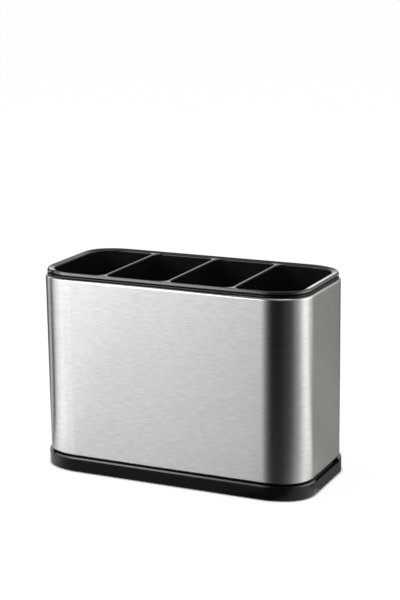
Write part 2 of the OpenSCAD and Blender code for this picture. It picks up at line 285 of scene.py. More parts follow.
def gloss_abs(finishes):
    """Polished black ABS: a mirror-like skin with the faint long waves of a moulded wall."""
    return moulded("polished_black_abs", finishes.gloss_black, 1.53, haze=((3, 3, 3), 4.0),
                   shine=(0.10, 0.17), skin=((14, 14, 40), 1.0), relief=(0.15, 0.4))


def satin_abs(finishes):
    """Satin black ABS: the fine spark-eroded grain of the mould softens every reflection."""
    grain = ((0.35, 0.35, 0.35), 2.0)
    return moulded("satin_black_abs", finishes.satin_black, 1.5, haze=grain, shine=(0.13, 0.21),
                   skin=grain, relief=(0.12, 0.03))


def silicone_rubber(finishes):
    """Dark silicone rubber: matt, with a dusty grain."""
    dust = ((0.5, 0.5, 0.5), 3.0)
    return moulded("dark_silicone_rubber", finishes.rubber, 1.5, haze=dust, shine=(0.65, 0.85),
                   skin=dust, relief=(0.3, 0.05))


MATERIALS = {"steel": brushed_steel, "gloss": gloss_abs, "satin": satin_abs, "rubber": silicone_rubber}


def material_for(finish):
    """The material of a finish, made once."""
    key = "holder_" + finish
    scene = bpy.context.scene
    if key not in scene:
        scene[key] = MATERIALS[finish](scene.holder_finishes).name
    return bpy.data.materials[scene[key]]


# Geometry Nodes trees

def new_tree(name, inputs):
    """A geometry tree with named inputs, and the sockets that give them."""
    tree = bpy.data.node_groups.new(name, "GeometryNodeTree")
    tree.interface.new_socket("Geometry", in_out="INPUT", socket_type="NodeSocketGeometry")
    for label, kind in inputs:
        tree.interface.new_socket(label, in_out="INPUT", socket_type="NodeSocket" + kind)
    tree.interface.new_socket("Geometry", in_out="OUTPUT", socket_type="NodeSocketGeometry")
    return tree, add_node(tree, "NodeGroupInput").outputs


def close_tree(tree, geometry, material):
    """Ends a tree in Realize Instances and Set Material."""
    solid = add_node(tree, "GeometryNodeRealizeInstances", inputs={0: geometry})
    painted = add_node(tree, "GeometryNodeSetMaterial",
                       inputs={"Geometry": solid.outputs[0], "Material": material})
    add_node(tree, "NodeGroupOutput", inputs={0: painted.outputs[0]})
    return tree


def band_tree():
    """Sweeps a section, drawn as outwards and down, around a closed path."""
    tree, given = new_tree("band_tree", (("Path", "Object"), ("Material", "Material")))
    path = add_node(tree, "GeometryNodeObjectInfo", inputs={"Object": given["Path"]})
    route = add_node(tree, "GeometryNodeMeshToCurve", inputs={"Mesh": path.outputs["Geometry"]})
    section = add_node(tree, "GeometryNodeMeshToCurve", inputs={"Mesh": given["Geometry"]})
    swept = add_node(tree, "GeometryNodeCurveToMesh",
                     inputs={"Curve": route.outputs[0], "Profile Curve": section.outputs[0]})
    return close_tree(tree, swept.outputs[0], given["Material"])


def row_tree():
    """Copies a shape along a straight row."""
    tree, given = new_tree("row_tree", (
        ("Count", "Int"), ("Start", "Vector"), ("Step", "Vector"), ("Material", "Material")))
    line = add_node(tree, "GeometryNodeMeshLine", {"mode": "OFFSET"}, {
        "Count": given["Count"], "Start Location": given["Start"], "Offset": given["Step"]})
    copies = add_node(tree, "GeometryNodeInstanceOnPoints",
                      inputs={"Points": line.outputs[0], "Instance": given["Geometry"]})
    return close_tree(tree, copies.outputs[0], given["Material"])


def run_tree(obj, build_tree, values):
    """Runs a geometry tree on an object with its inputs set, and keeps the result as a plain mesh."""
    tree = bpy.data.node_groups.get(build_tree.__name__) or build_tree()
    modifier = obj.modifiers.new(tree.name, "NODES")
    modifier.node_group = tree
    for socket in tree.interface.items_tree:
        if socket.in_out == "INPUT" and socket.name in values:
            modifier[socket.identifier] = values[socket.name]
    return bake(obj)


# Mesh helpers

def bake(obj):
    """Replaces an object's mesh by its evaluated mesh, and removes its modifiers."""
    bpy.context.view_layer.update()
    evaluated = obj.evaluated_get(bpy.context.evaluated_depsgraph_get())
    mesh = bpy.data.meshes.new_from_object(evaluated)
    old = obj.data
    obj.modifiers.clear()
    obj.data = mesh
    bpy.data.meshes.remove(old)
    mesh.name = obj.name
    return obj


def new_object(name, mesh_or_bmesh):
    """Links a new object that holds a mesh, or the mesh of a bmesh."""
    if isinstance(mesh_or_bmesh, bmesh.types.BMesh):
        mesh = bpy.data.meshes.new(name)
        mesh_or_bmesh.to_mesh(mesh)
        mesh_or_bmesh.free()
    else:
        mesh = mesh_or_bmesh
    obj = bpy.data.objects.new(name, mesh)
    bpy.context.scene.collection.objects.link(obj)
    return obj


def arc(centre, radius, start, end, steps=8):
    """Points of a section along an arc, from one angle to another in degrees."""
    turns = [math.radians(start + (end - start) * k / steps) for k in range(steps + 1)]
    return [(centre[0] + radius * math.cos(a), centre[1] + radius * math.sin(a)) for a in turns]


def wire(name, points, closed):
    """An object that holds a line of points, as a section or a path."""
    last = len(points) - 1
    edges = [(k, k + 1) for k in range(last)] + ([(last, 0)] if closed else [])
    mesh = bpy.data.meshes.new(name)
    mesh.from_pydata(points, edges, [])
    return new_object(name, mesh)


def swept(name, section, closed, material):
    """A section of (outwards, up) points swept around the sleeve's outer face; open ends get flat caps."""
    sleeve = bpy.context.scene.holder_sleeve
    corner = (sleeve.corner_radius, True, sleeve.corner_steps)
    path = wire("path", outline(-HALF_W, HALF_W, HALF_D, corner, corner, 0.0), True)
    obj = wire(name, [(out, -up, 0) for out, up in section], closed)
    run_tree(obj, band_tree, {"Path": path, "Material": material})
    bpy.data.objects.remove(path)
    shell = bmesh.new()
    shell.from_mesh(obj.data)
    bmesh.ops.remove_doubles(shell, verts=shell.verts, dist=WELD_DISTANCE)
    bmesh.ops.holes_fill(shell, edges=[e for e in shell.edges if e.is_boundary], sides=0)
    bmesh.ops.recalc_face_normals(shell, faces=shell.faces)
    shell.to_mesh(obj.data)
    shell.free()
    return obj


def corner_points(radius, eased, steps):
    """Points of a corner from the short side to the long side, measured from where the sides would meet."""
    if not eased:
        return arc((-radius, -radius), radius, 0, 90, steps)
    sleeve = bpy.context.scene.holder_sleeve
    along, across = sleeve.ease_along, sleeve.ease_across
    gain = math.hypot(along, across)
    join = math.degrees(math.atan2(across, along))
    tight = arc((-radius, across - gain - radius), radius, 0, join, steps)
    wide = arc((-radius - along, -radius - gain), radius + gain, join, 90, steps)
    return tight + wide[1:]


def outline(x0, x1, y_half, corner0, corner1, z):
    """Ring of points from x0 to x1, with its own corners (radius, whether eased, steps) at each end."""
    left, right = corner_points(*corner0), corner_points(*corner1)
    flat = [(x1 + x, y_half + y) for x, y in right]
    flat += [(x0 - x, y_half + y) for x, y in reversed(left)]
    flat += [(x0 - x, -y_half - y) for x, y in left]
    flat += [(x1 + x, -y_half - y) for x, y in reversed(right)]
    return [Vector((x, y, z)) for x, y in flat]


def loft(rings):
    """Closed solid through rings with equal numbers of points, from the lowest to the highest."""
    shell = bmesh.new()
    rows = [[shell.verts.new(p) for p in ring] for ring in rings]
    count = len(rows[0])
    for low, high in zip(rows, rows[1:]):
        for k in range(count):
            shell.faces.new((low[k], low[(k + 1) % count], high[(k + 1) % count], high[k]))
    shell.faces.new(rows[0][::-1])
    shell.faces.new(rows[-1])
    return shell


def block(low, high):
    """A box between two corners, as a cutter or a rib."""
    solid = bmesh.new()
    size = Vector(high) - Vector(low)
    middle = (Vector(high) + Vector(low)) / 2
    place = Matrix.Translation(middle) @ Matrix.Diagonal(size.to_4d())
    bmesh.ops.create_cube(solid, size=1.0, matrix=place)
    return solid


def ring(radius, z, steps):
    """Points of a level circle around the middle."""
    turns = [2 * math.pi * k / steps for k in range(steps)]
    return [Vector((radius * math.cos(a), radius * math.sin(a), z)) for a in turns]


def prism(section, depth):
    """A closed section of (x, z) points, given depth along Y around the middle."""
    solid = bmesh.new()
    ends = [[solid.verts.new((x, y, z)) for x, z in section] for y in (-depth / 2, depth / 2)]
    count = len(section)
    for k in range(count):
        after = (k + 1) % count
        solid.faces.new((ends[0][k], ends[0][after], ends[1][after], ends[1][k]))
    solid.faces.new(ends[0][::-1])
    solid.faces.new(ends[1])
    bmesh.ops.recalc_face_normals(solid, faces=solid.faces)
    return solid


def combine(obj, others, operation):
    """Joins other objects to an object, or cuts them from it, and removes them."""
    for other in others:
        modifier = obj.modifiers.new(operation, "BOOLEAN")
        modifier.operation = operation
        modifier.solver = "EXACT"
        modifier.object = other
    bake(obj)
    for other in others:
        bpy.data.objects.remove(other)
    return obj


def dress(obj, finish, body, node, sharp=SHARP):
    """Shades a finished piece, gives it its material, and sets it on its body in place of its CAD node."""
    mesh = obj.data
    mesh.materials.clear()
    mesh.materials.append(material_for(finish))
    for face in mesh.polygons:
        face.material_index = 0
        face.use_smooth = True
    mesh.set_sharp_from_angle(angle=math.radians(sharp))
    weighted = obj.modifiers.new("Weighted normals", "WEIGHTED_NORMAL")
    weighted.keep_sharp = True
    bake(obj)
    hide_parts(node)
    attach(obj, body)


# Insets from the sleeve's outer face, shared by the pieces

def insets():
    """Distances from the sleeve's outer face towards the middle, by name."""
    scene = bpy.context.scene
    sleeve, collar = scene.holder_sleeve, scene.holder_collar
    liner, tray = scene.holder_liner, scene.holder_tray
    found = {"rim": HALF_W - LINER_HIGH.x, "proud": TRAY_HIGH.x - HALF_W}
    found["bend"] = sleeve.bend_radius + sleeve.sheet
    found["lip"] = found["bend"] + sleeve.lip_flat
    found["skirt"] = found["lip"] + collar.fit_gap
    found["collar"] = found["skirt"] + collar.skirt_wall
    found["liner"] = found["collar"] + liner.play
    found["pocket"] = found["liner"] + liner.wall
    found["spigot"] = found["lip"] + collar.lift_gap
    found["spigot_inner"] = found["spigot"] + tray.spigot_wall
    found["basin"] = found["spigot_inner"] + tray.basin_step
    found["basin_wall"] = found["basin"] - tray.basin_wall
    found["channel"] = tray.wall - found["proud"]
    return found


# Pieces

class BuildSleeve(bpy.types.Operator):
    """Brushed steel sleeve with turned-in edges and a strapped seam at the back"""
    bl_idname = "holder.build_sleeve"
    bl_label = "Steel sleeve"

    def execute(self, context):
        sizes = context.scene.holder_sleeve
        inset = insets()
        bend, lip = inset["bend"], inset["lip"]
        low, high = SLEEVE_LOW.z, SLEEVE_HIGH.z
        turn = sizes.foot_bend + sizes.sheet
        foot, head = (-turn, low + turn), (-bend, high - bend)
        section = [(-lip, low), *arc(foot, turn, -90, 0), *arc(head, bend, 0, 90), (-lip, high),
                   (-lip, high - sizes.sheet), *arc(head, sizes.bend_radius, 90, 0),
                   *arc(foot, sizes.foot_bend, 0, -90), (-lip, low + sizes.sheet)]
        sleeve = swept("sleeve", section, True, material_for("steel"))
        half_gap, half_strap = sizes.seam_gap / 2, sizes.strap_width / 2
        margin = sizes.sheet
        seam = new_object("seam", block((-half_gap, HALF_D - lip - margin, low - margin),
                                        (half_gap, HALF_D + margin, high + margin)))
        combine(sleeve, [seam], "DIFFERENCE")
        strap = new_object("strap", block((-half_strap, HALF_D - 2 * sizes.sheet, low + sizes.sheet / 2),
                                          (half_strap, HALF_D - sizes.sheet, high - sizes.sheet / 2)))
        combine(sleeve, [strap], "UNION")
        dress(sleeve, "steel", "housing", "steel_sleeve")
        return {"FINISHED"}


class BuildCollar(bpy.types.Operator):
    """Plastic collar on the sleeve's top edge, with the seat for the liner and snap barbs inside"""
    bl_idname = "holder.build_collar"
    bl_label = "Rim collar"

    def execute(self, context):
        sizes = context.scene.holder_collar
        inset = insets()
        base, top, seat = SLEEVE_HIGH.z, SLEEVE_HIGH.z + sizes.height, COLLAR_HIGH.z
        radius = sizes.edge_radius
        edge = (-inset["rim"] - radius, top - radius)
        seat_face = -inset["collar"] + sizes.seat_width
        # The gutter behind the front edge keeps the groove under the flange dark
        section = [(-inset["rim"], base), *arc(edge, radius, 0, 90), (seat_face, top - sizes.gutter),
                   (seat_face, seat), (-inset["collar"], seat), (-inset["collar"], COLLAR_LOW.z),
                   (-inset["skirt"], COLLAR_LOW.z), (-inset["skirt"], base)]
        collar = swept("collar", section, True, material_for("satin"))
        combine(collar, self.barbs(context, inset), "UNION")
        dress(collar, "satin", "housing", "rim_collar")
        return {"FINISHED"}

    def barbs(self, context, inset):
        """Snap barbs under the sleeve's lip: two on each long side and one on each short side."""
        sizes = context.scene.holder_collar
        sleeve = context.scene.holder_sleeve
        top = SLEEVE_HIGH.z - sleeve.sheet - sizes.fit_gap
        face = -inset["skirt"]
        root = face - sizes.skirt_wall / 2
        section = [(root, top), (face + sizes.barb_reach, top), (face, top - sizes.barb_height),
                   (root, top - sizes.barb_height)]
        along = (HALF_W - sleeve.corner_radius - sleeve.ease_along) / 2
        places = [(HALF_W, 0, turn) for turn in (0, 180)]
        places += [(HALF_D, side * along, turn) for side in (-1, 1) for turn in (90, 270)]
        made = []
        for reach, shift, turn in places:
            barb = prism([(x + reach, z) for x, z in section], sizes.barb_length)
            barb.transform(Matrix.Rotation(math.radians(turn), 4, "Z") @ Matrix.Translation((0, shift, 0)))
            made.append(new_object("barb", barb))
        return made


class BuildLiner(bpy.types.Operator):
    """Polished liner: a row of pockets with rounded mouths, drain slots, and a flange with a dished top"""
    bl_idname = "holder.build_liner"
    bl_label = "Compartment liner"

    def execute(self, context):
        sizes = context.scene.holder_liner
        inset = insets()
        radius = sizes.crest_radius
        mouth_z = LINER_HIGH.z - sizes.dish_drop
        # The dish ends a little inside the flare of the mouths, so that no thin strip stays between the two
        mouth = inset["pocket"] - DISH_END * sizes.mouth_radius
        crest = (-inset["rim"] - sizes.flange_lean - radius, LINER_HIGH.z - radius)
        lean = self.touch(radius, -inset["rim"] - crest[0], crest[1] - COLLAR_HIGH.z)
        dish = self.touch(radius, mouth + crest[0], crest[1] - mouth_z)
        foot = (-inset["liner"] - sizes.wall, LINER_LOW.z + sizes.wall)
        section = [*arc(foot, sizes.wall, -90, 0), (-inset["liner"], COLLAR_HIGH.z),
                   (-inset["rim"], COLLAR_HIGH.z), *arc(crest, radius, 90 - lean, 90 + dish),
                   (-mouth, mouth_z)]
        liner = swept("liner", section, False, material_for("gloss"))
        cutters = self.pockets(context, inset, mouth_z) + self.slots(context, inset)
        combine(liner, cutters, "DIFFERENCE")
        dress(liner, "gloss", "liner", "compartment_liner", LINER_SHARP)
        return {"FINISHED"}

    def touch(self, radius, across, up):
        """Slope in degrees of the line from a point to a circle that it touches, centred across and up."""
        return math.degrees(math.atan2(up, across) + math.asin(radius / math.hypot(across, up)))

    def spans(self, context, inset):
        """Left and right ends of the pockets: the dividers stand at equal steps across the liner."""
        sizes = context.scene.holder_liner
        pitch = 2 * (HALF_W - inset["liner"]) / sizes.pockets
        half_w = HALF_W - inset["pocket"]
        middles = [(k - sizes.pockets / 2) * pitch for k in range(1, sizes.pockets)]
        lefts = [-half_w, *(x + sizes.divider / 2 for x in middles)]
        rights = [*(x - sizes.divider / 2 for x in middles), half_w]
        return list(zip(lefts, rights))

    def pockets(self, context, inset, mouth_z):
        """The hollows of the pockets: filleted at the floor, and flared at the mouth to round its edge."""
        sizes = context.scene.holder_liner
        spans = self.spans(context, inset)
        half_d = HALF_D - inset["pocket"]
        end = (context.scene.holder_sleeve.corner_radius - inset["pocket"], True)
        inner = (sizes.pocket_radius, False)
        floor = LINER_LOW.z + sizes.floor
        bottom, mouth = sizes.bottom_radius, sizes.mouth_radius
        # Offsets outwards from the pocket's wall, with their heights
        profile = arc((-bottom, floor + bottom), bottom, -90, 0)
        flare = [(mouth - out, mouth_z - mouth + up) for out, up in arc((0, 0), mouth, 0, FLARE_TURN)]
        profile += flare
        profile.append((flare[-1][0] + mouth, LINER_HIGH.z))
        made = []
        for k, (x0, x1) in enumerate(spans):
            ends = (end if k == 0 else inner, end if k == len(spans) - 1 else inner)
            rings = []
            for out, z in profile:
                corners = [(radius + out, eased, sizes.corner_steps) for radius, eased in ends]
                rings.append(outline(x0 - out, x1 + out, half_d + out, *corners, z))
            made.append(new_object("pocket", loft(rings)))
        return made

    def slots(self, context, inset):
        """Cutters for the drain slots: a row across the floor of each pocket."""
        sizes = context.scene.holder_liner
        reach = HALF_D - inset["pocket"] - sizes.slot_margin
        radius = sizes.slot_width / 2
        corner = (radius * SLOT_ROUNDNESS, False, SLOT_STEPS)
        margin = sizes.floor / 2
        low, high = LINER_LOW.z - margin, LINER_LOW.z + sizes.floor + margin
        made = []
        for x0, x1 in self.spans(context, inset):
            pitch = (x1 - x0) / (sizes.slots + 1)
            rings = [outline(-radius, radius, reach, corner, corner, z) for z in (low, high)]
            made.append(run_tree(new_object("slots", loft(rings)), row_tree, {
                "Count": sizes.slots, "Start": (x0 + pitch, 0, 0), "Step": (pitch, 0, 0),
                "Material": material_for("gloss")}))
        return made


class BuildTray(bpy.types.Operator):
    """Drip tray: a basin inside a hollow plinth, a spigot for the sleeve, and finger notches"""
    bl_idname = "holder.build_tray"
    bl_label = "Drip tray"

    def execute(self, context):
        sizes = context.scene.holder_tray
        inset = insets()
        low, spigot_top = TRAY_LOW.z, TRAY_HIGH.z
        shoulder = low + sizes.height
        ceiling = shoulder - sizes.wall
        floor = low + sizes.floor
        proud, foot, tip, bowl = inset["proud"], sizes.foot_radius, sizes.spigot_radius, sizes.basin_radius
        plinth, bevel = -sizes.plinth_inset, proud - sizes.bevel_lean
        inner, outer = -inset["spigot_inner"], -inset["spigot"]
        basin, basin_wall, channel = -inset["basin"], -inset["basin_wall"], -inset["channel"]
        section = [*arc((basin - bowl, floor + bowl), bowl, -90, 0), (basin, shoulder), (inner, shoulder),
                   *arc((inner + tip, spigot_top - tip), tip, 180, 90),
                   *arc((outer - tip, spigot_top - tip), tip, 90, 0),
                   (outer, SLEEVE_LOW.z), (plinth, SLEEVE_LOW.z), (plinth, shoulder - sizes.gutter),
                   (bevel - sizes.ridge, shoulder), (bevel, shoulder),
                   (proud, shoulder - sizes.bevel_height), *arc((proud - foot, low + foot), foot, 0, -90),
                   (channel, low), (channel, ceiling), (basin_wall, ceiling), (basin_wall, low),
                   (basin, low)]
        tray = swept("tray", section, False, material_for("satin"))
        additions = [self.ribs(context, inset, ceiling), *self.notch_floors(context, inset, shoulder)]
        combine(tray, additions, "UNION")
        combine(tray, self.cutters(context, inset, shoulder), "DIFFERENCE")
        dress(tray, "satin", "base", "drip_tray", TRAY_SHARP)
        return {"FINISHED"}

    def ribs(self, context, inset, ceiling):
        """Ribs across the hollow channel, in two rows along the long sides."""
        sizes = context.scene.holder_tray
        across = (inset["channel"] + inset["basin_wall"]) / 2
        half_l = (inset["basin_wall"] - inset["channel"] + sizes.basin_wall) / 2
        lower = TRAY_LOW.z + sizes.wall / 2
        sleeve = context.scene.holder_sleeve
        last = math.floor((HALF_W - sleeve.corner_radius - sleeve.ease_along) / sizes.rib_pitch)
        rib = new_object("ribs", block((-sizes.rib / 2, -half_l, lower),
                                       (sizes.rib / 2, half_l, ceiling + sizes.wall / 2)))
        material = material_for("satin")
        run_tree(rib, row_tree, {"Count": 2 * last + 1, "Start": (-last * sizes.rib_pitch, 0, 0),
                                 "Step": (sizes.rib_pitch, 0, 0), "Material": material})
        run_tree(rib, row_tree, {"Count": 2, "Start": (0, across - HALF_D, 0),
                                 "Step": (0, 2 * (HALF_D - across), 0), "Material": material})
        return rib

    def at_both_ends(self, name, insets_x, half_l, low, high):
        """A block at each short side, between two distances from the sleeve's outer face."""
        made = []
        for side in (-1, 1):
            left, right = sorted(side * (HALF_W - distance) for distance in insets_x)
            made.append(new_object(name, block((left, -half_l, low), (right, half_l, high))))
        return made

    def notch_floors(self, context, inset, shoulder):
        """Floors across the hollow channel, which close the finger notches from below."""
        sizes = context.scene.holder_tray
        outer, inner = inset["channel"] - sizes.wall / 2, inset["basin_wall"] + sizes.basin_wall / 2
        half_l = sizes.notch_length / 2 + sizes.wall
        low, high = shoulder - sizes.notch_height - sizes.notch_floor, shoulder - sizes.wall / 2
        return self.at_both_ends("notch_floor", (outer, inner), half_l, low, high)

    def cutters(self, context, inset, shoulder):
        """Cutters for the finger notches and for the seats of the feet."""
        sizes = context.scene.holder_tray
        gap = context.scene.holder_collar.fit_gap
        made = self.at_both_ends("notch", (inset["spigot"], -2 * inset["proud"]), sizes.notch_length / 2,
                                 shoulder - sizes.notch_height, SLEEVE_LOW.z + sizes.wall)
        for name in FEET:
            low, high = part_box(name)
            seat = bmesh.new()
            radius = (high.x - low.x) / 2 + gap
            bmesh.ops.create_cone(seat, cap_ends=True, segments=ROUND_STEPS, radius1=radius, radius2=radius,
                                  depth=high.z - low.z, matrix=Matrix.Translation((low + high) / 2))
            made.append(new_object("seat", seat))
        return made


class BuildFeet(bpy.types.Operator):
    """Four rubber pads with grip grooves, glued into their seats under the tray"""
    bl_idname = "holder.build_feet"
    bl_label = "Foot pads"

    def execute(self, context):
        sizes = context.scene.holder_feet
        for name in FEET:
            low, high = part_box(name)
            radius = (high.x - low.x) / 2
            edge = sizes.edge_radius
            profile = []
            step = radius / (2 * sizes.grooves + 2)
            for k in range(sizes.grooves):
                inner = (2 * k + 1) * step
                outer = inner + step
                profile += [(inner, 0), (inner, sizes.groove), (outer, sizes.groove), (outer, 0)]
            profile += arc((radius - edge, edge), edge, -90, 0)
            profile += [(radius, high.z - low.z)]
            pad = loft([ring(r, low.z + z, ROUND_STEPS) for r, z in profile])
            pad.transform(Matrix.Translation(((low.x + high.x) / 2, (low.y + high.y) / 2, 0)))
            bmesh.ops.recalc_face_normals(pad, faces=pad.faces)
            dress(new_object(name.replace("foot", "pad"), pad), "rubber", "base", name)
        return {"FINISHED"}


# Stage

CAMERA_TARGET = Vector((5.6, 0.0, 109.4)) * MM
CAMERA_AZIMUTH, CAMERA_ELEVATION, CAMERA_ROLL = 25.27, 13.65, -0.76
CAMERA_DISTANCE = 987.2 * MM
CAMERA_LENS = 94.66
# Area lamps: place, width and height in metres, and watts
SOFTBOXES = {"softbox_front": ((-0.67, -0.80, 0.60), 0.7, 0.6, 6.6),
             "softbox_back": ((-0.43, 1.115, 0.15), 0.46, 0.26, 0.32),
             "softbox_top": ((0.0, 0.1, 1.3), 0.6, 0.4, 3.0)}
# Strength of the world as a light, and where it is seen
WORLD_LIGHT, WORLD_SEEN = 0.8, 1.0
FLOOR_SIZE = 40.0
# A hair between the foot pads and the floor, in mm
FLOOR_DROP = 0.05
# Paper of the floor, its glow where it is seen, and the share of that glow
FLOOR_PAPER, FLOOR_GLOW, GLOW_SHARE = 0.9, 1.03, 0.88
# Reach in mm of the contact shadow, and the open sky between which the glow comes in
CONTACT_REACH, CONTACT_SKY = 2, (0.5, 0.95)
DOME_RADIUS = 1.6
DOME_STEPS, DOME_RINGS = 96, 24
# Height in mm of the dome's own floor, and the height under which a point is on it
DOME_LIFT, DOME_FLOOR = 0.1, 1
WHITE = (1.0, 1.0, 1.0)
# Brightness of the light dome by azimuth in degrees: 0 is the front, and 90 the right
DOME_LIGHT = ((-180, 0.15), (-168, 1.00), (-140, 1.00), (-125, 0.30), (-115, 0.12), (-106, 0.50),
              (-92, 1.75), (-87, 0.60), (-83, 0.00), (-79, 0.05), (-74, 1.70), (-60, 2.40), (-45, 1.13),
              (-35, 1.70), (-28, 0.94), (-22, 1.04), (-18, 1.93), (-14, 1.59), (-8, 0.47), (0, 0.03),
              (22, 0.01), (30, 0.09), (48, 0.13), (58, 0.47), (68, 0.71), (80, 1.37), (90, 2.34),
              (100, 2.88), (112, 2.75), (130, 2.10), (146, 0.96), (180, 0.15))
# From this azimuth on, up to the back, the light is this much warmer
WARM_FROM, WARM = 90, (1.01, 1.0, 0.935)
# Share of that brightness by height above the floor, as a part of the dome's radius
DOME_RISE = ((0.0, 1.10), (0.15, 1.23), (0.40, 1.13), (0.60, 0.29), (1.0, 0.15))
# Share of that brightness on the floor, by millimetres from the sides of the sleeve
FLOOR_FADE = ((0, 0.30), (50, 0.38), (90, 0.28), (150, 0.32), (250, 0.28), (400, 0.17), (800, 0.18),
              (1600, 0.25))
# How much brighter or darker than the dome the floor is, by azimuth
FLOOR_SIDES = ((-180, 1.0), (-85, 1.5), (-62, 1.75), (-52, 1.25), (-38, 1.0), (5, 1.02), (26, 1.15),
               (60, 1.02), (85, 1.05), (106, 1.05), (115, 0.35), (128, 0.3), (142, 0.75), (180, 1.0))
# Brightness of the floor where the front face mirrors it, and where that fades, in mm from its middle line
FRONT_FLOOR = 0.8
FRONT_EDGE = (66, 72)
# How far the floor close to the sleeve keeps its own light, by millimetres, and how bright it is by azimuth
FLOOR_NEAR = ((0, 1.0), (20, 0.9), (38, 0.0))
NEAR_LIGHT = ((-180, 0.30), (-100, 0.90), (-66, 0.90), (-58, 0.19), (0, 0.17), (40, 0.14), (48, 0.03),
              (58, 0.03), (63, 0.36), (70, 0.66), (77, 0.90), (85, 0.24), (115, 0.22), (180, 0.30))


def by_azimuth(stops, warm_from=360):
    """Stops of a ramp around the dome, from degrees and brightness, and warmer from an azimuth on."""
    return [(0.5 + azimuth / 360, light, WARM if azimuth >= warm_from else WHITE)
            for azimuth, light in stops]


def by_distance(stops):
    """Stops of a ramp across the dome's floor, from millimetres and brightness."""
    return [(distance * MM / DOME_RADIUS, light, WHITE) for distance, light in stops]


